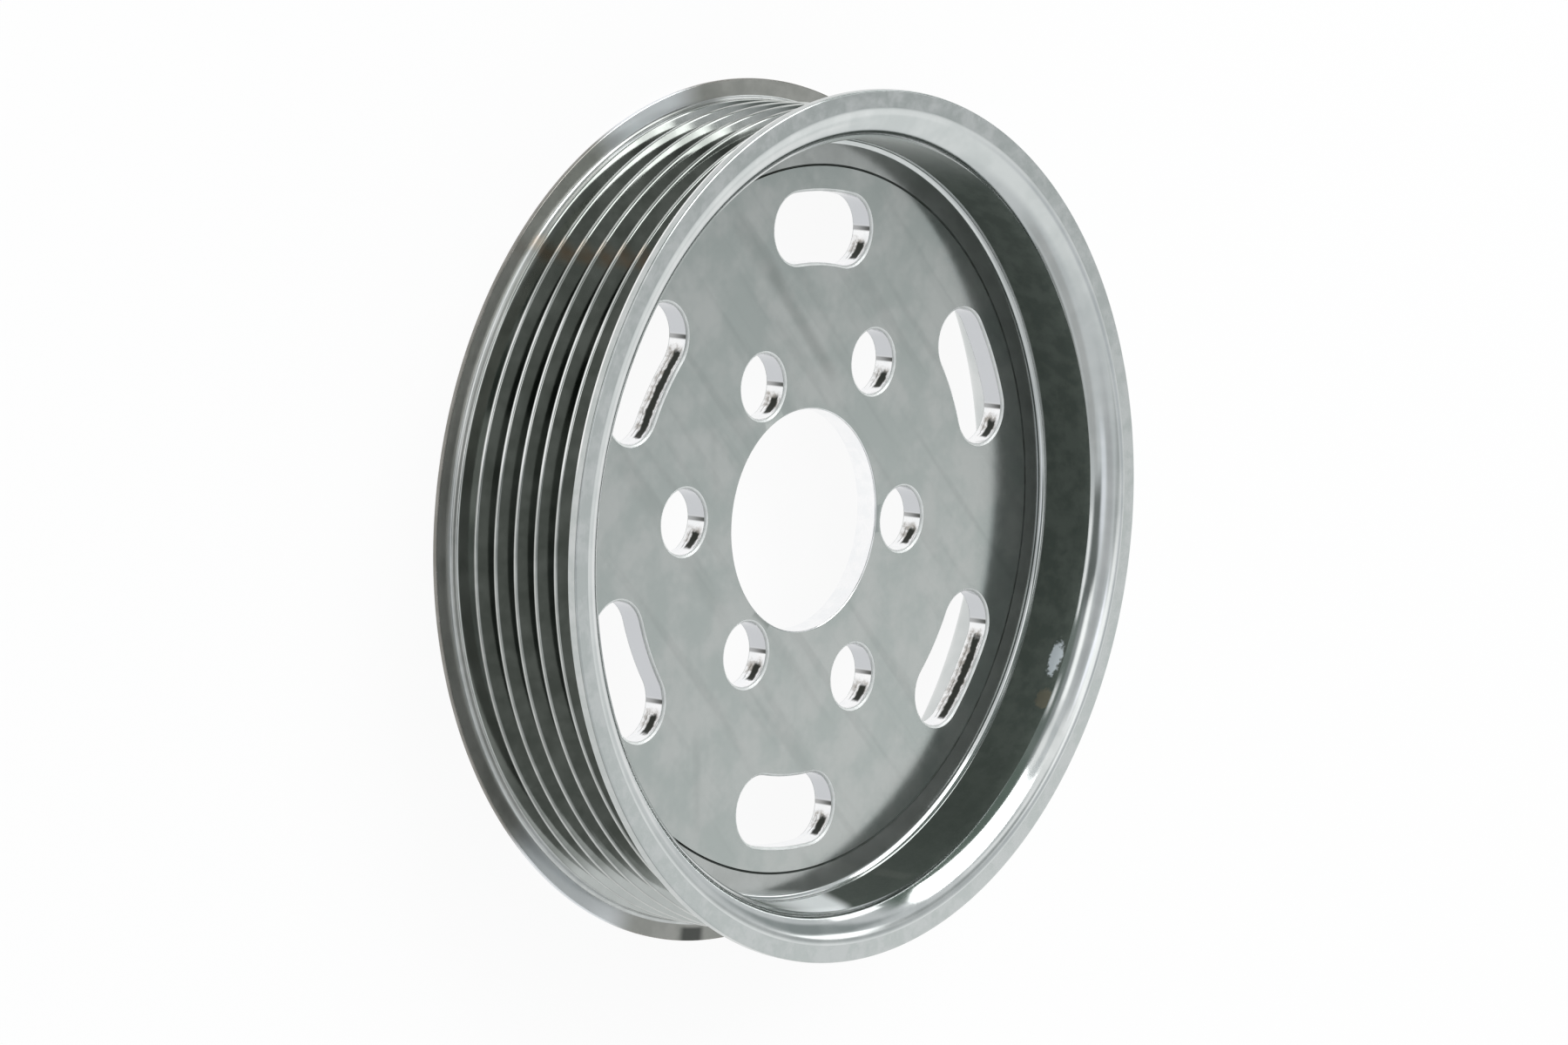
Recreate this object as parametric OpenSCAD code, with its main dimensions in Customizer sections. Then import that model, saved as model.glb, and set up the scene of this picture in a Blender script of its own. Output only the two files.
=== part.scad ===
// Power steering pump pulley: a one-piece steel wheel for a ribbed belt.
// It lies on its rear flange with its axis along +Z and its open front up.
// All depths are measured from the front face towards the rear, in mm.

/* [Rim] */
// Outer diameter of the front flange
rim_d = 120; // [118:1:140]
// How far the rear flange stands out past the front one
rear_rise = 0.2; // [0:0.1:1]
// Depth of the middle of the first groove
front_lead = 4.2; // [3.8:0.1:6]
// From the middle of the last groove to the rear face
rear_lead = 3.3; // [3:0.1:6]
// Thickness of the upright rear flange
rear_flange_t = 0.75; // [0.6:0.05:1.2]
// Wall thickness under the groove floors
wall_t = 1.3; // [1:0.1:2.5]
// Radius of the curve that leads from the front face into the cup
front_lip_r = 4.6; // [2:0.1:5.4]
// Radius of the same curve at the rear
rear_lip_r = 4; // [2:0.1:4.6]
// Rounding of the outer edges of the flanges
flange_edge_r = 0.3; // [0.1:0.05:0.35]

/* [Belt grooves] */
// Number of grooves
grooves = 6; // [5:1:8]
// Distance from groove to groove
pitch = 3.56; // [3.4:0.02:3.8]
// Angle between the two flanks of a groove
groove_angle = 40; // [36:1:46]
// How far the ridge tips lie inside the edge of the front flange
tip_drop = 2.6; // [1.6:0.1:3.6]
// How far the plain land behind the last groove lies inside that edge
land_drop = 2.6; // [1.4:0.1:3.2]
// Curve from that land up into the rear flange
foot_r = 0.5; // [0.1:0.05:0.6]
// Rounding of the ridge tips and of the land's front edge
tip_r = 0.4; // [0.2:0.05:0.45]
// Rounding of the groove floors
floor_r = 0.5; // [0.3:0.05:0.55]

/* [Web] */
// Depth of the web's front face inside the cup
web_depth = 11.4; // [9:0.2:13]
// Thickness of the web
web_t = 3.4; // [2:0.1:5]
// Fillet between web and wall
web_fillet_r = 0.9; // [0.5:0.1:3]
// From the wall in to the fine turned line on the web
line_gap = 3.9; // [3.4:0.1:5]
// Half width and depth of that line
line_d = 0.25; // [0.15:0.05:0.5]

/* [Hub] */
// Diameter of the centre bore
bore_d = 30.8; // [20:0.2:32]
// Rounding of the bore's front edge
bore_edge_r = 0.25; // [0.1:0.05:0.6]
// Diameter of the bolt holes
bolt_d = 9; // [6:0.1:9.4]
// Pitch circle of the inner three bolt holes
inner_pcd = 42.5; // [42:0.1:46]
// Pitch circle of the outer three bolt holes
outer_pcd = 50.8; // [46:0.1:54]

/* [Windows] */
// Number of windows
windows = 6; // [3:3:6]
// Radius on which the windows are centred
window_r = 40.5; // [39:0.1:42]
// Length of a window along the ring
window_l = 20.6; // [12:0.1:28]
// Width of a window across the ring
window_w = 9.8; // [6:0.1:11]
// Rounding of the front edges of windows and bolt holes
punch_edge_r = 0.4; // [0.1:0.05:0.6]

/* [Hidden] */
$fn = 96;
half = groove_angle / 2;
rim_w = front_lead + (grooves - 1) * pitch + rear_lead;
edge_r = rim_d / 2;
rear_r = edge_r + rear_rise;
tip_c = edge_r - tip_drop - tip_r;
floor_c = tip_c - (pitch / 2 - (tip_r + floor_r) / cos(half)) / tan(half);
wall_r = floor_c - floor_r - wall_t;
land_r = edge_r - land_drop;
land_c = land_r - tip_r;
land_front = front_lead + (grooves - 0.5) * pitch + (land_c - tip_c) * tan(half);
flange_face = rim_w - rear_flange_t;
bite = 0.3;
over = 1;
steel = [0.72, 0.75, 0.74];

// Half the width of a groove at radius r.
function groove_half(r) = pitch / 2 - tip_r / cos(half) - (tip_c - r) * tan(half);

// Section of one groove with its middle at depth 0. Its front and rear flanks
// run out to the radii given, so that the end grooves can reach into a flange.
module groove_section(front_r, back_r) {
    foot = floor_c - floor_r * sin(half);
    polygon([
        [foot, -floor_r * cos(half)],
        [front_r, -groove_half(front_r)],
        [front_r, 0],
        [back_r, 0],
        [back_r, groove_half(back_r)],
        [foot, floor_r * cos(half)]
    ]);
    translate([floor_c, 0]) circle(floor_r);
}

// Blank of the rim between wall and ridge tips, with both flanges.
module rim_blank() {
    translate([wall_r, 0]) square([tip_c + tip_r * sin(half) - wall_r, rim_w]);
    translate([wall_r, 0]) square([edge_r - wall_r, front_lead]);
    translate([wall_r, rim_w - rear_lead])
        square([land_c + tip_r * sin(half) - wall_r, rear_lead]);
    translate([wall_r, flange_face]) square([rear_r - wall_r, rear_flange_t]);
}

// Plain land behind the last groove: it starts as a ridge does and runs on, at its
// own height, to the rear flange, where it curves up.
module land() {
    translate([land_c, land_front]) circle(tip_r);
    translate([land_c, land_front]) square([tip_r, flange_face + bite - land_front]);
    corner_fill(land_r, flange_face, foot_r, 1, 1);
}

// What is taken off a flange edge at [r, depth] to round it; side is +1 towards
// the front face and -1 towards the rear face.
module edge_round(r, depth, side) {
    translate([r - flange_edge_r, depth]) mirror([0, side < 0 ? 1 : 0]) difference() {
        translate([0, -over]) square([flange_edge_r + over, flange_edge_r + over]);
        translate([0, flange_edge_r]) circle(flange_edge_r);
    }
}

// Curve from a face into the cup: the corner outside the lip circle.
module lip_cut(depth, r, side) {
    translate([wall_r, depth]) mirror([0, side < 0 ? 1 : 0]) difference() {
        translate([-over, -over]) square([r + over, r + over]);
        translate([r, r]) circle(r);
    }
}

// Filler of an inner corner at [r, depth], with a curve of radius e. out is +1 where
// the hollow lies outside r and -1 where it lies inside; side is +1 where the hollow
// lies in front of the depth and -1 behind it.
module corner_fill(r, depth, e, out, side) {
    translate([r, depth]) mirror([out < 0 ? 1 : 0, 0]) mirror([0, side > 0 ? 1 : 0])
        difference() {
            translate([-bite, -bite]) square([e + bite, e + bite]);
            translate([e, e]) circle(e);
        }
}

// The whole section: x is the radius and y the depth from the front face.
module section() {
    difference() {
        rim_blank();
        for (i = [0 : grooves - 1])
            translate([0, front_lead + i * pitch]) groove_section(
                i == 0 ? edge_r + over : tip_c + tip_r,
                i == grooves - 1 ? land_r : tip_c + tip_r);
        lip_cut(0, front_lip_r, 1);
        lip_cut(rim_w, rear_lip_r, -1);
        edge_round(edge_r, 0, 1);
        edge_round(rear_r, rim_w, -1);
    }
    for (i = [0 : grooves - 2])
        translate([tip_c, front_lead + (i + 0.5) * pitch]) circle(tip_r);
    land();
    difference() {
        translate([0, web_depth]) square([wall_r + wall_t / 2, web_t]);
        translate([wall_r - line_gap, web_depth]) circle(line_d);
    }
    corner_fill(wall_r, web_depth, web_fillet_r, -1, 1);
    corner_fill(wall_r, web_depth + web_t, web_fillet_r, -1, -1);
}

// Half section of a hole through the web: its wall stands at distance r from the
// hole's axis and its front edge is rounded by e. y = 0 is the web's front face.
module hole_section(r, e) {
    translate([0, -web_t - over]) square([r, web_t + 2 * over]);
    difference() {
        translate([0, -e]) square([r + e, e + over]);
        translate([r + e, -e]) circle(e);
    }
}

module round_hole(d, e) {
    rotate_extrude() hole_section(d / 2, e);
}

// Window: a slot that curves round the wheel's axis, with half-round ends and
// rounded front edges. Its middle lies on +X, and each half runs a little past it.
module window_hole() {
    turn = (window_l - window_w) / window_r * 90 / PI;
    reach = turn + over;
    for (side = [0, 1]) mirror([0, side]) rotate(turn) {
        rotate_extrude(angle = reach, start = -reach) translate([window_r, 0])
            for (wall = [0, 1]) mirror([wall, 0]) hole_section(window_w / 2, punch_edge_r);
        translate([window_r, 0]) rotate_extrude(angle = 180)
            hole_section(window_w / 2, punch_edge_r);
    }
}

module pulley() {
    color(steel) difference() {
        translate([0, 0, rim_w]) mirror([0, 0, 1]) rotate_extrude() section();
        translate([0, 0, rim_w - web_depth]) {
            round_hole(bore_d, bore_edge_r);
            for (i = [0 : 2]) {
                rotate(i * 120) translate([inner_pcd / 2, 0, 0])
                    round_hole(bolt_d, punch_edge_r);
                rotate(i * 120 + 60) translate([outer_pcd / 2, 0, 0])
                    round_hole(bolt_d, punch_edge_r);
            }
            for (i = [0 : windows - 1]) rotate(i * 360 / windows + 90) window_hole();
        }
    }
}

pulley();
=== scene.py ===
"""Power steering pump pulley: a plated steel wheel for a ribbed belt, on a pale studio floor.

The wheel is drawn as one half section, spun about its axis and then punched. Sizes are in
millimetres up to the point where they are drawn, and depths run from the front face to the rear.
"""
import math

import bpy
from mathutils import Matrix, Vector


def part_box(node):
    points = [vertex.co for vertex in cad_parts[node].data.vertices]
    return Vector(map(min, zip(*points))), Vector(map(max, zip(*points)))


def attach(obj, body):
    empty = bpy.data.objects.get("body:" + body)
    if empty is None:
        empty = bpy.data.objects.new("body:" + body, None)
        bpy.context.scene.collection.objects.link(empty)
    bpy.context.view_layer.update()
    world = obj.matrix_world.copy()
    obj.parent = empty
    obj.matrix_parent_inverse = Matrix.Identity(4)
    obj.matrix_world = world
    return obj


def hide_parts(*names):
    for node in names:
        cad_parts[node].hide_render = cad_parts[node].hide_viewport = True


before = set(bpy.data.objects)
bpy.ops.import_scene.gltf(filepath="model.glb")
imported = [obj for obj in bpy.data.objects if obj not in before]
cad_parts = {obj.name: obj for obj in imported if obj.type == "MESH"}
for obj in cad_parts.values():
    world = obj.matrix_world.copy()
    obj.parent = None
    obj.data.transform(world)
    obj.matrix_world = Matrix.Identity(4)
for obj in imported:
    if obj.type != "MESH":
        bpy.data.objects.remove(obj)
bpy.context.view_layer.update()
low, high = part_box("pulley")
MM = 0.001
UP = (0, 0, 1)

# The wheel, in millimetres
WIDTH = (high.z - low.z) / MM
FLANGE_R = 60
REAR_FLANGE_R = 60.2
REAR_FLANGE_T = 0.75
WALL_R = 52.94
FRONT_LIP_R = 4.6
REAR_LIP_R = 4
EDGE_ROUND = 0.3
CORNER_ROUND = 0.15
HEEL_DEPTH = 1.35
HEEL_ROUND = 0.25

GROOVES = 6
PITCH = 3.56
FIRST_GROOVE = 4.2
HALF_ANGLE = math.radians(20)
TIP_R = 57
TIP_ROUND = 0.4
FLOOR_ROUND = 0.5
LAND_R = TIP_R + TIP_ROUND
LAND_START = FIRST_GROOVE + (GROOVES - 0.5) * PITCH
FOOT_ROUND = 0.5

WEB_DEPTH = 11.4
WEB_T = 3.4
WEB_FILLET = 0.9
LINE_R = 49.04
LINE_ROUND = 0.16

BORE_R = 15.4
BORE_ROUND = 0.25
BOLT_HOLE_R = 4.5
INNER_CIRCLE_R = 21.25
OUTER_CIRCLE_R = 25.4
HOLES_ON_CIRCLE = 3
WINDOWS = 6
WINDOW_R = 40.5
WINDOW_L = 20.6
WINDOW_W = 9.8
PUNCH_ROUND = 0.45
BURR_ROUND = 0.15

# Where one finish ends and the next starts. A slope is the share of a face's normal that points
# along the axis
LIP_POLISH_END = 66
FLOOR_END_R = 54.58
LAND_MARGIN = 0.2
NEAR = 0.01
PUNCHED_SLOPE = 0.2
FLANK_SLOPE = 0.7

# The way in which the sheet was rolled, in degrees, and the name of the punched walls' map
ROLLING_ANGLE = -42
WALL_MAP = "wall_map"

# Steps of the spins, and the distance within which two points are taken for one
WHEEL_STEPS = 288
HOLE_STEPS = 72
WINDOW_SIDE_STEPS = 16
WINDOW_END_STEPS = 28
DOUBLE = 0.002

# Shading: how level a flat face is, and the angle from which an edge stays sharp
FLAT = 0.9999
SHARP_ANGLE = 40

# The camera: where it aims, and from which side it sees the wheel, whose axis then runs right
CAMERA_AIM = Vector((-3.0, -0.4, 12.7)) * MM
CAMERA_AZIMUTH = 174.795
CAMERA_ELEVATION = 39.665
CAMERA_DISTANCE = 934.94 * MM
CAMERA_ROLL = 97.1
CAMERA_LENS = 155.995


def direction(azimuth, elevation):
    """The unit vector towards an azimuth, counted from +X, and an elevation above the floor."""
    a, e = math.radians(azimuth), math.radians(elevation)
    return Vector((math.cos(a) * math.cos(e), math.sin(a) * math.cos(e), math.sin(e)))


def facing_wheel(azimuth, elevation):
    """How a lamp or a camera in that direction is turned to face the wheel, upright."""
    return (-direction(azimuth, elevation)).to_track_quat("-Z", "Y").to_matrix()


def turned_by(degrees, axis):
    """A turn about one of the three axes."""
    return Matrix.Rotation(math.radians(degrees), 3, axis)


# Outlines: points are (radius, depth) in millimetres

def arc(radius, depth, bend, start, end, steps):
    """A round stretch about (radius, depth). At 0 degrees it is outermost, at 90 rearmost."""
    angles = [math.radians(start + (end - start) * i / steps) for i in range(steps + 1)]
    return [(radius + bend * math.cos(a), depth + bend * math.sin(a)) for a in angles]


def groove_floor(depth):
    """The rounded bottom of a groove, from its front flank to its rear one."""
    meet = (TIP_ROUND + FLOOR_ROUND) / math.cos(HALF_ANGLE)
    floor_r = TIP_R - (PITCH / 2 - meet) / math.tan(HALF_ANGLE)
    side = 90 + math.degrees(HALF_ANGLE)
    return arc(floor_r, depth, FLOOR_ROUND, -side, -360 + side, 6)


def ridge_tip(depth):
    """The rounded tip of a ridge, from its front flank to its rear one."""
    side = 90 - math.degrees(HALF_ANGLE)
    return arc(TIP_R, depth, TIP_ROUND, -side, side, 6)


def rim_outline():
    """The outside of the wheel, from the front face round the flanges and grooves to the rear."""
    points = arc(FLANGE_R - EDGE_ROUND, EDGE_ROUND, EDGE_ROUND, -90, 0, 4)
    foot_r, foot_depth = groove_floor(FIRST_GROOVE)[0]
    # The rear face of the front flange leans back from its rounded edge to the first groove
    lean = math.atan2(foot_depth - HEEL_DEPTH, FLANGE_R - foot_r)
    heel = HEEL_DEPTH - HEEL_ROUND * (1 - math.sin(lean)) / math.cos(lean)
    points += arc(FLANGE_R - HEEL_ROUND, heel, HEEL_ROUND, 0, 90 - math.degrees(lean), 4)
    for i in range(GROOVES):
        if i > 0:
            points += ridge_tip(FIRST_GROOVE + (i - 0.5) * PITCH)
        points += groove_floor(FIRST_GROOVE + i * PITCH)
    # The land starts as a ridge does, up to the middle of the tip, and ends in a curved foot
    points += ridge_tip(LAND_START)[:4]
    step = WIDTH - REAR_FLANGE_T
    points += arc(LAND_R + FOOT_ROUND, step - FOOT_ROUND, FOOT_ROUND, 180, 90, 5)
    points += arc(REAR_FLANGE_R - CORNER_ROUND, step + CORNER_ROUND, CORNER_ROUND, -90, 0, 3)
    points += arc(REAR_FLANGE_R - EDGE_ROUND, WIDTH - EDGE_ROUND, EDGE_ROUND, 0, 90, 4)
    return points


def cup_outline():
    """The inside of the wheel, from the rear face through web and bore to the front face."""
    web_back = WEB_DEPTH + WEB_T
    points = arc(WALL_R + REAR_LIP_R, WIDTH - REAR_LIP_R, REAR_LIP_R, 90, 180, 12)
    points += arc(WALL_R - WEB_FILLET, web_back + WEB_FILLET, WEB_FILLET, 0, -90, 6)
    points += arc(BORE_R + BURR_ROUND, web_back - BURR_ROUND, BURR_ROUND, 90, 180, 2)
    points += arc(BORE_R + BORE_ROUND, WEB_DEPTH + BORE_ROUND, BORE_ROUND, 180, 270, 4)
    points += arc(LINE_R, WEB_DEPTH, LINE_ROUND, 180, 0, 6)
    points += arc(WALL_R - WEB_FILLET, WEB_DEPTH - WEB_FILLET, WEB_FILLET, 90, 0, 8)
    points += arc(WALL_R + FRONT_LIP_R, FRONT_LIP_R, FRONT_LIP_R, 180, 270, 20)
    return points


def hole_outline(wall_r):
    """Half the outline of a punch: its wall, with the rounding that it leaves at both faces."""
    web_back = WEB_DEPTH + WEB_T
    beyond = wall_r + 3 * PUNCH_ROUND
    # The roundings end a few degrees early, so that the punch crosses both faces at an angle
    points = [(0, WEB_DEPTH - 1), (beyond, WEB_DEPTH - 1)]
    points += arc(wall_r + PUNCH_ROUND, WEB_DEPTH + PUNCH_ROUND, PUNCH_ROUND, 262, 180, 7)
    points += arc(wall_r + BURR_ROUND, web_back - BURR_ROUND, BURR_ROUND, 180, 100, 2)
    points += [(wall_r + 2 * BURR_ROUND, web_back + 1), (0, web_back + 1)]
    return points


# Modelling by hand: a point is extruded into an outline, and the outline is spun

def deselect_all():
    bpy.ops.object.select_all(action="DESELECT")


def select_only(piece):
    deselect_all()
    piece.select_set(True)
    bpy.context.view_layer.objects.active = piece


def placed(point, angle=0.0, offset=0.0):
    """A point of an outline in space: at an angle round the wheel, its radius starting at offset."""
    radius, depth = point
    turned = Matrix.Rotation(angle, 3, "Z")
    return turned @ Vector((offset + radius, 0, WIDTH - depth)) * MM


def draw_outline(name, points):
    """Draws a wire, extruding each point from the last, and stays in edit mode with it selected."""
    deselect_all()
    bpy.ops.mesh.primitive_plane_add(size=MM, location=points[0])
    piece = bpy.context.object
    piece.name = piece.data.name = name
    bpy.ops.object.transform_apply()
    bpy.ops.object.mode_set(mode="EDIT")
    bpy.ops.mesh.select_all(action="SELECT")
    bpy.ops.mesh.merge(type="CENTER")
    for here, there in zip(points, points[1:]):
        bpy.ops.mesh.extrude_region_move(TRANSFORM_OT_translate={"value": there - here})
    bpy.ops.mesh.select_all(action="SELECT")
    return piece


def spin(angle, steps, centre=(0, 0, 0)):
    """Spins what is selected anticlockwise about an upright axis, seen from above."""
    bpy.ops.mesh.spin(steps=steps, angle=-angle, center=centre, axis=UP)


def close_shape():
    """Merges the points that lie double, turns every face outwards and leaves edit mode."""
    bpy.ops.mesh.select_all(action="SELECT")
    bpy.ops.mesh.remove_doubles(threshold=DOUBLE * MM)
    bpy.ops.mesh.normals_make_consistent(inside=False)
    bpy.ops.object.mode_set(mode="OBJECT")


def turned_blank():
    """The wheel as it leaves the lathe, before its holes are punched."""
    points = [placed(p) for p in rim_outline() + cup_outline()]
    blank = draw_outline("pulley_wheel", points + points[:1])
    spin(math.tau, WHEEL_STEPS)
    close_shape()
    return blank


def round_punch(name, wall_r, circle_r, angle):
    """A punch for one round hole, standing in its place on a circle round the bore."""
    points = [placed(p, angle, circle_r) for p in hole_outline(wall_r)]
    punch = draw_outline(name, points)
    centre = placed((circle_r, 0), angle)
    spin(math.tau, HOLE_STEPS, centre)
    close_shape()
    return punch


def window_punch(name, angle):
    """A punch for one curved window: along the ring, round one end, back, and round the other."""
    turn = (WINDOW_L - WINDOW_W) / 2 / WINDOW_R
    points = [placed(p, angle - turn, WINDOW_R) for p in hole_outline(WINDOW_W / 2)]
    punch = draw_outline(name, points)
    for side in (1, -1):
        spin(side * 2 * turn, WINDOW_SIDE_STEPS)
        spin(math.pi, WINDOW_END_STEPS, placed((WINDOW_R, 0), angle + side * turn))
    close_shape()
    return punch


def apply_modifier(piece, kind, **settings):
    """Adds a modifier to the piece and applies it."""
    select_only(piece)
    modifier = piece.modifiers.new(kind.title(), kind)
    for key, value in settings.items():
        setattr(modifier, key, value)
    bpy.ops.object.modifier_apply(modifier=modifier.name)


def punch_holes(wheel):
    """Punches the bolt holes and the windows through the web, all with one joined tool."""
    punches = []
    for i in range(HOLES_ON_CIRCLE):
        angle = math.radians(360 / HOLES_ON_CIRCLE * i)
        punches.append(round_punch(f"inner_punch_{i}", BOLT_HOLE_R, INNER_CIRCLE_R, angle))
        between = angle + math.pi / HOLES_ON_CIRCLE
        punches.append(round_punch(f"outer_punch_{i}", BOLT_HOLE_R, OUTER_CIRCLE_R, between))
    for i in range(WINDOWS):
        angle = math.radians(90 + 360 / WINDOWS * i)
        punches.append(window_punch(f"window_punch_{i}", angle))
    deselect_all()
    for punch in punches:
        punch.select_set(True)
    bpy.context.view_layer.objects.active = punches[0]
    bpy.ops.object.join()
    tool = bpy.context.object
    apply_modifier(wheel, "BOOLEAN", object=tool, operation="DIFFERENCE", solver="EXACT")
    bpy.data.objects.remove(tool)
    bpy.ops.object.mode_set(mode="EDIT")
    close_shape()


def smooth(piece):
    """Shades the piece smoothly, with the flat faces kept flat up to their rounded edges."""
    select_only(piece)
    bpy.ops.object.shade_smooth_by_angle(angle=math.radians(SHARP_ANGLE))
    bpy.context.tool_settings.mesh_select_mode = (False, False, True)
    flat = [abs(face.normal.z) > FLAT for face in piece.data.polygons]
    piece.data.polygons.foreach_set("select", flat)
    bpy.ops.object.mode_set(mode="EDIT")
    bpy.ops.mesh.mod_weighted_strength(set=True, face_strength="STRONG")
    bpy.ops.mesh.select_all(action="INVERT")
    bpy.ops.mesh.mod_weighted_strength(set=True, face_strength="WEAK")
    bpy.ops.object.mode_set(mode="OBJECT")
    apply_modifier(piece, "WEIGHTED_NORMAL", keep_sharp=True, use_face_influence=True)


# Finishes

class Nodes:
    """The node tree of one material, with short calls to add nodes and join them."""

    def __init__(self, owner):
        self.tree = owner.node_tree
        self.tree.nodes.clear()

    def add(self, kind, inputs=None, **settings):
        node = self.tree.nodes.new(kind)
        for key, value in settings.items():
            setattr(node, key, value)
        for key, value in (inputs or {}).items():
            self.put(value, node.inputs[key])
        return node

    def put(self, value, socket):
        if isinstance(value, bpy.types.NodeSocket):
            self.tree.links.new(value, socket)
        else:
            socket.default_value = value

    def math(self, operation, a, b=0.0):
        return self.add("ShaderNodeMath", {0: a, 1: b}, operation=operation).outputs[0]

    def ramp(self, value, low, high, to_low=0.0, to_high=1.0):
        """A value carried smoothly from one range to another."""
        node = self.add("ShaderNodeMapRange", {"Value": value, "From Min": low, "From Max": high,
                                               "To Min": to_low, "To Max": to_high},
                        interpolation_type="SMOOTHSTEP")
        return node.outputs["Result"]

    def within(self, value, start, end, soft):
        """1 from start to end, 0 outside them."""
        rise = self.ramp(value, start - soft, start + soft)
        fall = self.ramp(value, end - soft, end + soft, 1.0, 0.0)
        return self.math("MULTIPLY", rise, fall)

    def dot(self, vector, axis):
        node = self.add("ShaderNodeVectorMath", {0: vector, 1: axis}, operation="DOT_PRODUCT")
        return node.outputs["Value"]

    def mix(self, share, first, second):
        node = self.add("ShaderNodeMix", data_type="RGBA")
        self.put(share, node.inputs["Factor"])
        self.put(first, node.inputs["A"])
        self.put(second, node.inputs["B"])
        return node.outputs["Result"]


class Where:
    """Where a point of a finish lies on the wheel: its place in metres, its radius and depth in
    millimetres and its angle round the axis in degrees."""

    def __init__(self, nodes):
        self.nodes = nodes
        self.place = nodes.add("ShaderNodeTexCoord").outputs["Object"]
        x, y, z = nodes.add("ShaderNodeSeparateXYZ", {0: self.place}).outputs
        square = nodes.math("ADD", nodes.math("MULTIPLY", x, x), nodes.math("MULTIPLY", y, y))
        self.radius = nodes.math("DIVIDE", nodes.math("SQRT", square), MM)
        self.depth = nodes.math("SUBTRACT", WIDTH, nodes.math("DIVIDE", z, MM))
        self.angle = nodes.math("DIVIDE", nodes.math("ARCTAN2", y, x), math.radians(1))

    def noise(self, scale, detail=2.0, roughness=0.5, place=None):
        """Plain noise with features about scale millimetres across."""
        inputs = {"Vector": place or self.place, "Scale": 1 / (scale * MM),
                  "Detail": detail, "Roughness": roughness}
        return self.nodes.add("ShaderNodeTexNoise", inputs).outputs["Fac"]

    def lathe_marks(self):
        """Noise that changes only across the turning marks, which run round the axis."""
        across = self.nodes.math("MULTIPLY", self.nodes.math("SUBTRACT", self.radius, self.depth), MM)
        line = self.nodes.add("ShaderNodeCombineXYZ", {0: across, 1: 0.0, 2: 0.0})
        return self.noise(0.12, 1.0, place=line.outputs[0])

    def rolled_streaks(self):
        """Noise drawn out along the way in which the sheet was rolled."""
        turn = (0, 0, math.radians(ROLLING_ANGLE))
        drawn_out = {"Vector": self.place, "Rotation": turn, "Scale": (16, 1, 1)}
        along = self.nodes.add("ShaderNodeMapping", drawn_out, vector_type="TEXTURE")
        return self.noise(2.4, 2.0, 0.5, along.outputs[0])

    def stroke(self, start, end, half_width, soft):
        """1 on a straight stroke over the web between two points given in millimetres."""
        start, end = Vector((*start, 0)), Vector((*end, 0))
        along = (end - start).normalized()
        aside = Vector((-along.y, along.x, 0))
        run = self.nodes.dot(self.place, along / MM)
        off = self.nodes.dot(self.place, aside / MM)
        length = self.nodes.within(run, start.dot(along), end.dot(along), 2.5)
        middle = start.dot(aside)
        width = self.nodes.within(off, middle - half_width, middle + half_width, soft)
        return self.nodes.math("MULTIPLY", length, width)

    def spot(self, angle, depth, half_angle, half_depth, ragged):
        """1 in the middle of a spot on a wall, falling to 0 at its ragged edge."""
        nodes = self.nodes
        aside = nodes.math("DIVIDE", nodes.math("SUBTRACT", self.angle, angle), half_angle)
        down = nodes.math("DIVIDE", nodes.math("SUBTRACT", self.depth, depth), half_depth)
        away = nodes.math("MULTIPLY", aside, aside)
        away = nodes.math("ADD", away, nodes.math("MULTIPLY", down, down))
        torn = nodes.math("MULTIPLY", nodes.math("SUBTRACT", ragged, 0.5), 2.4)
        return nodes.ramp(nodes.math("ADD", away, torn), 0.45, 1.1, 1.0, 0.0)


def plated_steel(name, light, dark, gloss, mottle, rings, grain=0.0, metal=1.0, marks=None):
    """Bright zinc plating. light and dark are the colours between which it is mottled, gloss its
    least and greatest roughness, mottle the size of the cloudy patches, rings the height in
    millimetres of the fine turning marks round the axis, and grain how far the streaks that the
    sheet was rolled with darken it. metal is lower where the surface is dull and oxidised. marks
    is a function that adds the finish's marks, and painted light and shade, to its colour."""
    material = bpy.data.materials.new(name)
    material.use_nodes = True
    nodes = Nodes(material)
    where = Where(nodes)
    clouds = where.noise(mottle, 3.0, 0.6)
    specks = where.noise(0.35, 2.0, 0.7)
    colour = nodes.mix(nodes.ramp(clouds, 0.35, 0.65), dark, light)
    if grain:
        worn = nodes.math("MULTIPLY", nodes.ramp(where.rolled_streaks(), 0.5, 0.72), grain)
        colour = nodes.mix(worn, colour, (0, 0, 0, 1))
    if marks:
        colour = marks(nodes, where, colour)
    sheen = nodes.math("MULTIPLY", clouds, 0.6)
    sheen = nodes.math("ADD", sheen, nodes.math("MULTIPLY", specks, 0.4))
    rough = nodes.ramp(sheen, 0.3, 0.7, gloss[0], gloss[1])
    turned = nodes.math("MULTIPLY", where.lathe_marks(), rings)
    height = nodes.math("ADD", turned, nodes.math("MULTIPLY", specks, 0.0004))
    bump = nodes.add("ShaderNodeBump", {"Height": height, "Distance": MM, "Strength": 1.0})
    inputs = {"Base Color": colour, "Metallic": metal, "Roughness": rough, "Normal": bump.outputs[0]}
    shader = nodes.add("ShaderNodeBsdfPrincipled", inputs)
    output = nodes.add("ShaderNodeOutputMaterial")
    nodes.put(shader.outputs[0], output.inputs["Surface"])
    return material


def stretches(nodes, where, colour, rows):
    """Tones a colour on stretches round the wheel. Each row gives the angles at which a stretch
    starts and ends, how softly it does, its share and its tone."""
    for start, end, soft, share, tone in rows:
        mark = nodes.math("MULTIPLY", nodes.within(where.angle, start, end, soft), share)
        colour = nodes.mix(mark, colour, tone)
    return colour


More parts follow.
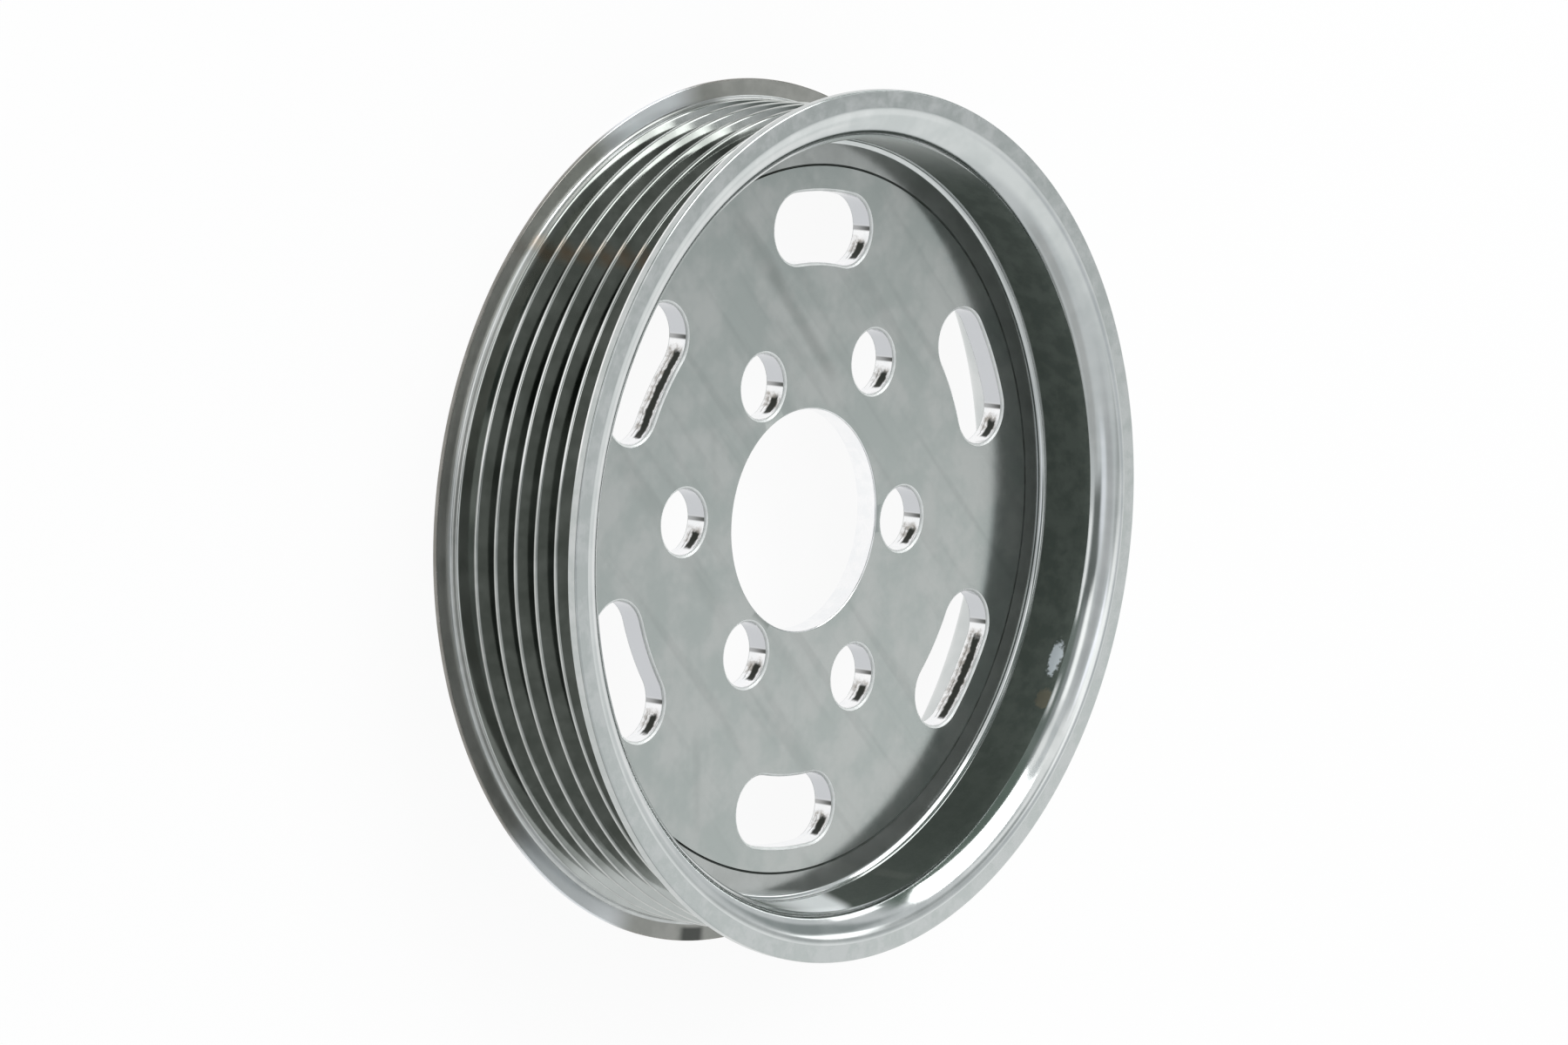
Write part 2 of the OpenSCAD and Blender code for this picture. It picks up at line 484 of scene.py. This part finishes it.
def web_marks(nodes, where, colour):
    """A few broad, faint streaks across the web."""
    for start, end, half_width, share in (
            ((-19, 41.5), (-9, 32.5), 1.4, 0.10),
            ((-11, 34.5), (4, 20), 0.9, 0.22),
            ((-40, 9), (-16, -13), 1.1, 0.07),
            ((-21, 14), (-19, 3), 0.5, 0.06),
            ((-20, -29), (-18.5, -43), 0.6, 0.08)):
        stroke = nodes.math("MULTIPLY", where.stroke(start, end, half_width, 0.8), share)
        colour = nodes.mix(stroke, colour, (0.02, 0.03, 0.02, 1))
    return colour


def groove_stain_and_painted_light(nodes, where, colour):
    """The grooves have painted highlights on two stretches and painted shade on one. The last groove
    has a painted highlight on one side of the wheel, and a narrow brown stain runs across them all."""
    # Painted highlights on two stretches, and painted shade on a third
    bright = (0.66, 0.68, 0.67, 1)
    colour = stretches(nodes, where, colour, (
        (98.0, 109.0, 3.0, 0.4, bright),
        (-123.0, -97.0, 3.0, 0.55, bright),
        (113.5, 117.5, 1.5, 0.4, (0.05, 0.055, 0.05, 1))))
    # A painted highlight on the last groove, on one side of the wheel
    side = nodes.ramp(nodes.math("ABSOLUTE", where.angle), 134.0, 150.0, 0.0, 0.6)
    last = nodes.math("MULTIPLY", nodes.ramp(where.depth, 21.4, 22.2), side)
    colour = nodes.mix(last, colour, (0.78, 0.80, 0.78, 1))
    patchy = nodes.ramp(where.noise(1.5), 0.3, 0.6, 0.5, 1.0)
    stain = nodes.math("MULTIPLY", nodes.within(where.angle, 139.4, 141.4, 0.9), patchy)
    return nodes.mix(nodes.math("MULTIPLY", stain, 0.55), colour, (0.29, 0.22, 0.155, 1))


def tip_stain_and_painted_light(nodes, where, colour):
    """The ridges have painted shade on one stretch, two of them on another too, and a painted
    highlight on a third; where the stain crosses them they are warm, with a painted highlight."""
    # Painted shade on two stretches, a painted highlight on a third, and the warm stain with a
    # painted highlight
    dull = (0.16, 0.17, 0.16, 1)
    middle = nodes.math("MULTIPLY", nodes.within(where.depth, 8.0, 14.5, 2.0), 0.75)
    return stretches(nodes, where, colour, (
        (105.5, 110.0, 1.5, 0.7, dull),
        (118.0, 131.0, 4.0, middle, dull),
        (150.5, 174.0, 3.0, 0.8, (0.93, 0.94, 0.93, 1)),
        (139.4, 141.4, 1.0, 0.8, (0.85, 0.75, 0.64, 1))))


def land_stain_and_painted_light(nodes, where, colour):
    """The land has the ridges' marks, painted shade before the stain and a painted highlight behind
    it.
    """
    # Painted shade on one stretch and a painted highlight on the next, then the ridges' marks
    colour = stretches(nodes, where, colour, (
        (98.0, 119.0, 3.0, 0.6, (0.12, 0.13, 0.12, 1)),
        (143.0, 157.0, 4.0, 0.9, (0.97, 0.99, 0.97, 1))))
    return tip_stain_and_painted_light(nodes, where, colour)


def heel_painted_highlight(nodes, where, colour):
    """The rear edge of the front flange has a painted highlight on one side."""
    # The painted highlight lies on the outer part of the rounded rear edge
    edge = nodes.ramp(where.depth, 0.95, 1.1)
    edge = nodes.math("MULTIPLY", edge, nodes.ramp(where.radius, 58.0, 59.0, 0.0, 0.9))
    return stretches(nodes, where, colour, ((112.0, 172.0, 2.0, edge, (0.97, 0.97, 0.96, 1)),))


def flange_painted_reflections(nodes, where, colour):
    """The face of the rear flange has painted reflections: brighter on two stretches, and a dark
    spot.
    """
    # Painted reflections: two bright stretches, and a dark spot towards the outer edge
    bright = (0.84, 0.87, 0.90, 1)
    outer = nodes.ramp(where.radius, 58.0, 58.6, 0.0, 0.85)
    return stretches(nodes, where, colour, (
        (105.0, 121.0, 4.0, 1.0, bright),
        (-132.0, -108.0, 4.0, 0.85, bright),
        (-95.0, -90.6, 0.8, outer, (0.02, 0.025, 0.02, 1))))


def wall_stains_and_painted_light(nodes, where, colour):
    """A bright scuff under the lip, a brown stain beside it, a faint streak down the wall, painted
    shade on two stretches, a painted reflection on one, and a painted highlight along a slanting
    edge."""
    ragged = where.noise(0.7, 3.0, 0.6)
    # The dark tone paints shade on the wall
    dark = (0.012, 0.02, 0.014, 1)
    depths = nodes.math("MULTIPLY", nodes.within(where.depth, 3.8, 9.5, 1.0), 0.22)
    colour = stretches(nodes, where, colour, ((-70.4, -68.4, 0.6, depths, (0.36, 0.37, 0.33, 1)),))
    stain = nodes.math("MULTIPLY", where.spot(-28.6, 3.7, 1.8, 1.4, ragged), 0.45)
    colour = nodes.mix(stain, colour, (0.24, 0.20, 0.13, 1))
    # Painted shade on two stretches and a painted reflection on a third
    colour = stretches(nodes, where, colour, (
        (-95.0, -38.0, 18.0, 0.62, dark),
        (74.0, 100.0, 14.0, 0.9, (0.55, 0.57, 0.55, 1)),
        (-140.0, -112.0, 6.0, 0.45, dark)))
    # A painted highlight, bounded by an edge that slants with depth
    skewed = nodes.math("SUBTRACT", where.angle, nodes.math("MULTIPLY", where.depth, 0.55))
    painted_highlight_wedge = nodes.ramp(skewed, -88.5, -85.0, 1.0, 0.0)
    painted_highlight_wedge = nodes.math("MULTIPLY", painted_highlight_wedge, nodes.ramp(skewed, -108.0, -91.0))
    colour = nodes.mix(nodes.math("MULTIPLY", painted_highlight_wedge, 0.9), colour, (0.90, 0.93, 0.94, 1))
    scuff = nodes.math("MULTIPLY", where.spot(-21.9, 4.1, 3.0, 1.1, ragged), 0.9)
    return nodes.mix(scuff, colour, (0.78, 0.84, 0.89, 1))


def punch_stain_and_painted_shade(nodes, where, colour):
    """Marks on a punched wall: painted shade where it faces +Y, a painted dark line down it, a band
    of painted shade under its front edge and a brown stain beside that. They are laid out on the
    wall's own map, by the way it faces and by its depth."""
    layout = nodes.add("ShaderNodeUVMap", uv_map=WALL_MAP).outputs[0]
    facing, depth = nodes.add("ShaderNodeSeparateXYZ", {0: layout}).outputs[:2]
    # Painted shade where the wall faces +Y
    colour = nodes.mix(nodes.ramp(facing, 0.512, 0.530), colour, (0.60, 0.615, 0.635, 1))
    ragged = nodes.math("SUBTRACT", where.noise(1.1, 3.0, 0.55), 0.5)
    torn = nodes.math("ADD", depth, nodes.math("MULTIPLY", ragged, 0.45))
    turned = nodes.math("ADD", facing, nodes.math("MULTIPLY", ragged, 0.04))
    stain = nodes.within(turned, 0.39, 0.468, 0.015)
    stain = nodes.math("MULTIPLY", stain, nodes.within(torn, 0.2, 0.9, 0.12))
    speckles = nodes.ramp(where.noise(0.9, 2.0, 0.6), 0.35, 0.65, 0.15, 0.75)
    speckled = nodes.math("MULTIPLY", stain, speckles)
    colour = nodes.mix(speckled, colour, (0.24, 0.21, 0.17, 1))
    # A painted dark line, and a band of painted shade with darker edges, all in the one dark tone
    fading = nodes.ramp(depth, 0.0, 1.0, 0.95, 0.55)
    line = nodes.math("MULTIPLY", nodes.within(facing, 0.500, 0.521, 0.005), fading)
    even = nodes.math("ADD", depth, nodes.math("MULTIPLY", ragged, 0.22))
    painted_shade_band = nodes.within(turned, 0.345, 0.448, 0.012)
    painted_shade_band = nodes.math("MULTIPLY", painted_shade_band, nodes.within(even, 0.24, 0.60, 0.05))
    edges = nodes.within(even, 0.13, 0.17, 0.03)
    edges = nodes.math("ADD", edges, nodes.within(even, 0.73, 0.77, 0.03))
    painted_shade_contour = nodes.math("MULTIPLY", nodes.within(turned, 0.35, 0.445, 0.012), edges)
    painted_shade_contour = nodes.math("MULTIPLY", painted_shade_contour, 0.6)
    mark = nodes.math("MAXIMUM", line, nodes.math("MAXIMUM", painted_shade_band, painted_shade_contour))
    return nodes.mix(mark, colour, (0.035, 0.038, 0.033, 1))


def finishes():
    """The finishes of the wheel, in the order of its material slots."""
    return {
        "web": plated_steel("satin_zinc_web", (0.48, 0.50, 0.486, 1), (0.40, 0.435, 0.42, 1),
                            (0.10, 0.17), 8, 0.0, grain=0.08, metal=0.87, marks=web_marks),
        "ring": plated_steel("turned_zinc_ring", (0.465, 0.48, 0.468, 1), (0.405, 0.42, 0.408, 1),
                             (0.12, 0.2), 6, 0.0004, metal=0.87),
        "face": plated_steel("turned_zinc_face", (0.58, 0.60, 0.595, 1), (0.50, 0.53, 0.52, 1),
                             (0.14, 0.24), 3, 0.002, marks=heel_painted_highlight),
        "lip": plated_steel("polished_zinc_lip", (0.67, 0.69, 0.685, 1), (0.60, 0.625, 0.62, 1),
                            (0.08, 0.14), 7, 0.0006),
        "wall": plated_steel("dull_zinc_cup_wall", (0.105, 0.125, 0.108, 1), (0.07, 0.088, 0.074, 1),
                             (0.62, 0.78), 3, 0.0005, metal=0.0, marks=wall_stains_and_painted_light),
        # The grooves and their floors are darker than the rest: partly duller zinc, partly painted
        # shade in the hollows
        "groove": plated_steel("dull_zinc_groove_and_painted_shade", (0.28, 0.295, 0.28, 1), (0.225, 0.24, 0.225, 1),
                               (0.06, 0.11), 4, 0.0005, marks=groove_stain_and_painted_light),
        "floor": plated_steel("dull_groove_floor_and_painted_shade", (0.15, 0.16, 0.15, 1), (0.11, 0.12, 0.11, 1),
                              (0.22, 0.32), 4, 0.0005),
        "tip": plated_steel("worn_zinc_ridge_tip", (0.52, 0.535, 0.52, 1), (0.44, 0.455, 0.44, 1),
                            (0.07, 0.12), 4, 0.0005, marks=tip_stain_and_painted_light),
        "land": plated_steel("zinc_land_and_foot", (0.67, 0.685, 0.675, 1), (0.57, 0.585, 0.575, 1),
                             (0.09, 0.15), 4, 0.0005, metal=0.62, marks=land_stain_and_painted_light),
        "rear_face": plated_steel("dull_zinc_rear_flange", (0.40, 0.40, 0.375, 1),
                                  (0.33, 0.335, 0.31, 1), (0.16, 0.24), 5, 0.0008,
                                  metal=0.55, marks=flange_painted_reflections),
        "rear_edge": plated_steel("dull_zinc_rear_edge", (0.31, 0.30, 0.28, 1),
                                  (0.25, 0.245, 0.225, 1), (0.2, 0.3), 4, 0.001,
                                  marks=flange_painted_reflections),
        "punched": plated_steel("sheared_bright_wall", (0.98, 0.98, 0.985, 1), (0.93, 0.94, 0.95, 1),
                                (0.08, 0.16), 2, 0.0, marks=punch_stain_and_painted_shade),
        "edge": plated_steel("burnished_hole_edge", (0.80, 0.82, 0.81, 1), (0.70, 0.72, 0.71, 1),
                             (0.32, 0.42), 3, 0.0, metal=0.25),
        # The turned line round the web is coloured almost black: painted shade in its crease
        "line": plated_steel("painted_shade_in_the_line", (0.07, 0.08, 0.075, 1), (0.04, 0.045, 0.04, 1),
                             (0.4, 0.6), 3, 0.0),
    }


def finish_of(face):
    """The name of the finish at a face of the wheel, by the face's place and slope."""
    radius, depth = face.center.xy.length / MM, WIDTH - face.center.z / MM
    slope = abs(face.normal.z)
    inward = face.normal.xy.dot(face.center.xy) < 0
    if radius < WALL_R - WEB_FILLET:
        if WEB_DEPTH + NEAR < depth < WEB_DEPTH + WEB_T - NEAR:
            if radius > LINE_R - 1:
                return "line"
            punched = slope < PUNCHED_SLOPE or radius < BORE_R + 2 * BORE_ROUND
            return "punched" if punched else "edge"
        return "ring" if radius > LINE_R and depth < WEB_DEPTH + 1 else "web"
    if inward and radius < WALL_R + FRONT_LIP_R:
        lip_end = FRONT_LIP_R * (1 - math.cos(math.radians(LIP_POLISH_END)))
        on_wall = radius >= WALL_R - NEAR and lip_end < depth <= WEB_DEPTH
        return "wall" if on_wall else "lip"
    step = WIDTH - REAR_FLANGE_T
    if abs(depth - step) < NEAR:
        return "rear_face"
    if depth > step:
        return "rear_edge" if radius > REAR_FLANGE_R - EDGE_ROUND else "face"
    if depth > LAND_START - LAND_MARGIN and radius > TIP_R + LAND_MARGIN:
        return "land"
    if depth < HEEL_DEPTH:
        return "face"
    if radius < FLOOR_END_R:
        return "floor"
    return "groove" if slope > FLANK_SLOPE or radius < TIP_R else "tip"


def lay_out_walls(wheel):
    """Gives the walls of holes and windows a map: the way each place faces, and its depth."""
    mesh = wheel.data
    layout = mesh.uv_layers.new(name=WALL_MAP)
    punched = [f for f in mesh.polygons if finish_of(f) == "punched"]
    walls = [f for f in punched if f.center.xy.length > (BORE_R + 1) * MM]
    facing = {}
    for face in walls:
        for corner in face.vertices:
            facing[corner] = facing.get(corner, Vector((0, 0, 0))) - face.normal * face.area
    for face in walls:
        for loop in face.loop_indices:
            corner = mesh.loops[loop].vertex_index
            depth = WIDTH - mesh.vertices[corner].co.z / MM - WEB_DEPTH
            angle = math.atan2(facing[corner].y, facing[corner].x)
            layout.uv[loop].vector = (0.5 + angle / math.tau, depth / WEB_T)


def finish_wheel(wheel):
    """Gives each stretch of the wheel its own finish."""
    made = finishes()
    for material in made.values():
        wheel.data.materials.append(material)
    order = list(made)
    for face in wheel.data.polygons:
        face.material_index = order.index(finish_of(face))
    lay_out_walls(wheel)


def pulley_wheel():
    wheel = turned_blank()
    punch_holes(wheel)
    finish_wheel(wheel)
    smooth(wheel)
    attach(wheel, "root")
    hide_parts("pulley")
    return wheel


# Studio

def pale_floor():
    """A wide pale floor. It shows nearly white to the camera and in the metal, and keeps a shadow."""
    deselect_all()
    bpy.ops.mesh.primitive_plane_add(size=12, location=(0, 0, low.z))
    floor = bpy.context.object
    floor.name = floor.data.name = "floor"
    bpy.ops.object.transform_apply()
    material = bpy.data.materials.new("pale_floor")
    material.use_nodes = True
    nodes = Nodes(material)
    path = nodes.add("ShaderNodeLightPath").outputs
    seen = nodes.math("MAXIMUM", path["Is Camera Ray"], path["Is Glossy Ray"])
    seen = nodes.math("MAXIMUM", seen, path["Is Transmission Ray"])
    matt = nodes.add("ShaderNodeBsdfDiffuse", {"Color": (0.9, 0.9, 0.9, 1)})
    glow = nodes.add("ShaderNodeEmission", {"Color": (1, 1, 1, 1), "Strength": 1.0})
    both = nodes.add("ShaderNodeMixShader", {0: nodes.math("MULTIPLY", seen, 0.93)})
    nodes.put(matt.outputs[0], both.inputs[1])
    nodes.put(glow.outputs[0], both.inputs[2])
    output = nodes.add("ShaderNodeOutputMaterial")
    nodes.put(both.outputs[0], output.inputs["Surface"])
    floor.data.materials.append(material)


def softbox(name, azimuth, elevation, distance, width, height, level, roll=0, tilt=0):
    """A rectangular lamp that looks level times as bright as white. It faces the wheel, is then
    rolled about the way it faces, and at last tilted about its own width; both in degrees."""
    lamp = bpy.data.lights.new(name, "AREA")
    lamp.shape = "RECTANGLE"
    lamp.size, lamp.size_y = width, height
    lamp.energy = level * math.pi * width * height
    stand = bpy.data.objects.new(name, lamp)
    bpy.context.scene.collection.objects.link(stand)
    turn = facing_wheel(azimuth, elevation) @ turned_by(roll, "Z") @ turned_by(tilt, "X")
    stand.matrix_world = Matrix.LocRotScale(direction(azimuth, elevation) * distance, turn, None)


def studio_room():
    """The room round the wheel: a plain pale grey with soft darker and lighter places."""
    world = bpy.data.worlds.new("studio_room")
    world.use_nodes = True
    bpy.context.scene.world = world
    nodes = Nodes(world)
    way = nodes.add("ShaderNodeTexCoord").outputs["Generated"]

    def panel(azimuth, elevation, half_width, half_height, soft):
        """1 within a rectangle of the room and 0 outside it; all five are in degrees."""
        toward = direction(azimuth, elevation)
        aside = direction(azimuth + 90, 0)
        share = nodes.math("GREATER_THAN", nodes.dot(way, toward), 0.0)
        for axis, half in ((aside, half_width), (toward.cross(aside), half_height)):
            inner, outer = math.radians(max(half - soft, 0)), math.radians(half + soft)
            distance = nodes.math("ABSOLUTE", nodes.dot(way, axis))
            edge = nodes.ramp(distance, math.sin(inner), math.sin(outer), 1.0, 0.0)
            share = nodes.math("MULTIPLY", share, edge)
        return share

    colour = (0.70, 0.72, 0.73, 1)
    for place, tone in (
            ((-35, 30, 30, 30, 10), (0.90, 0.92, 0.92, 1)),
            ((-122, 24, 34, 12, 6), (0.54, 0.55, 0.55, 1)),
            ((-150, 2, 55, 5, 3), (0.28, 0.29, 0.28, 1)),
            ((180, 80, 22, 12, 8), (0.56, 0.57, 0.58, 1)),
            ((90, 10, 36, 20, 5), (0.15, 0.19, 0.165, 1)),
            ((140, 18, 24, 16, 4), (0.19, 0.22, 0.205, 1)),
            ((140, 35, 24, 6, 4), (0.34, 0.36, 0.36, 1)),
            ((178, 37, 15, 14, 4), (0.17, 0.185, 0.18, 1)),
            ((135, 14, 4, 5, 3), (1.0, 1.0, 1.0, 1)),
            ((172, 15, 14, 4, 2), (1.15, 1.15, 1.15, 1)),
            ((144, 50, 13, 7, 4), (1.4, 1.4, 1.4, 1)),
            ((-160, 55, 12, 8, 5), (0.95, 0.97, 1.02, 1)),
            ((3, 40, 4.5, 9, 4), (0.52, 0.54, 0.54, 1)),
            ((-12, 33, 6, 7, 3), (1.05, 1.06, 1.06, 1)),
            ((-10, 13, 16, 8, 4), (1.05, 1.05, 1.05, 1)),
            ((-8, 49, 8, 6, 4), (0.62, 0.64, 0.66, 1)),
            ((15, 50, 4, 9, 3), (0.42, 0.44, 0.44, 1)),
            ((31, 57, 4, 6, 3), (1.1, 1.1, 1.1, 1)),
            ((-14, 69, 4, 10, 3), (0.50, 0.52, 0.52, 1)),
            ((25, 25, 11, 11, 4), (0.34, 0.37, 0.37, 1)),
            ((14.5, 37.5, 5, 3, 2), (2.4, 2.4, 2.4, 1)),
            ((2, 59, 4, 8, 3), (1.4, 1.4, 1.4, 1)),
            ((14, 68, 4, 5, 3), (1.6, 1.6, 1.6, 1)),
            ((26, 75, 6, 4, 3), (1.5, 1.5, 1.6, 1)),
            ((50, 67, 14, 5, 3), (1.05, 1.05, 1.05, 1)),
            ((112, 43, 7, 8, 4), (1.05, 1.05, 1.05, 1))):
        colour = nodes.mix(panel(*place), colour, tone)
    background = nodes.add("ShaderNodeBackground", {"Color": colour, "Strength": 1.0})
    output = nodes.add("ShaderNodeOutputWorld")
    nodes.put(background.outputs[0], output.inputs["Surface"])


def studio():
    pale_floor()
    studio_room()
    softbox("key_softbox", 62.6, 46, 1.3, 0.77, 1.32, 3.3, roll=44, tilt=50.3)
    softbox("low_strip", 44, 5, 1.4, 0.34, 0.36, 1.2)


def camera():
    data = bpy.data.cameras.new("camera")
    data.lens = CAMERA_LENS
    data.sensor_width = 36
    data.clip_start = 0.01
    eye = bpy.data.objects.new("camera", data)
    bpy.context.scene.collection.objects.link(eye)
    away = direction(CAMERA_AZIMUTH, CAMERA_ELEVATION)
    turn = facing_wheel(CAMERA_AZIMUTH, CAMERA_ELEVATION) @ turned_by(CAMERA_ROLL, "Z")
    eye.matrix_world = Matrix.LocRotScale(CAMERA_AIM + away * CAMERA_DISTANCE, turn, None)
    bpy.context.scene.camera = eye


camera()
pulley_wheel()
studio()
bpy.context.scene.view_settings.view_transform = "Standard"
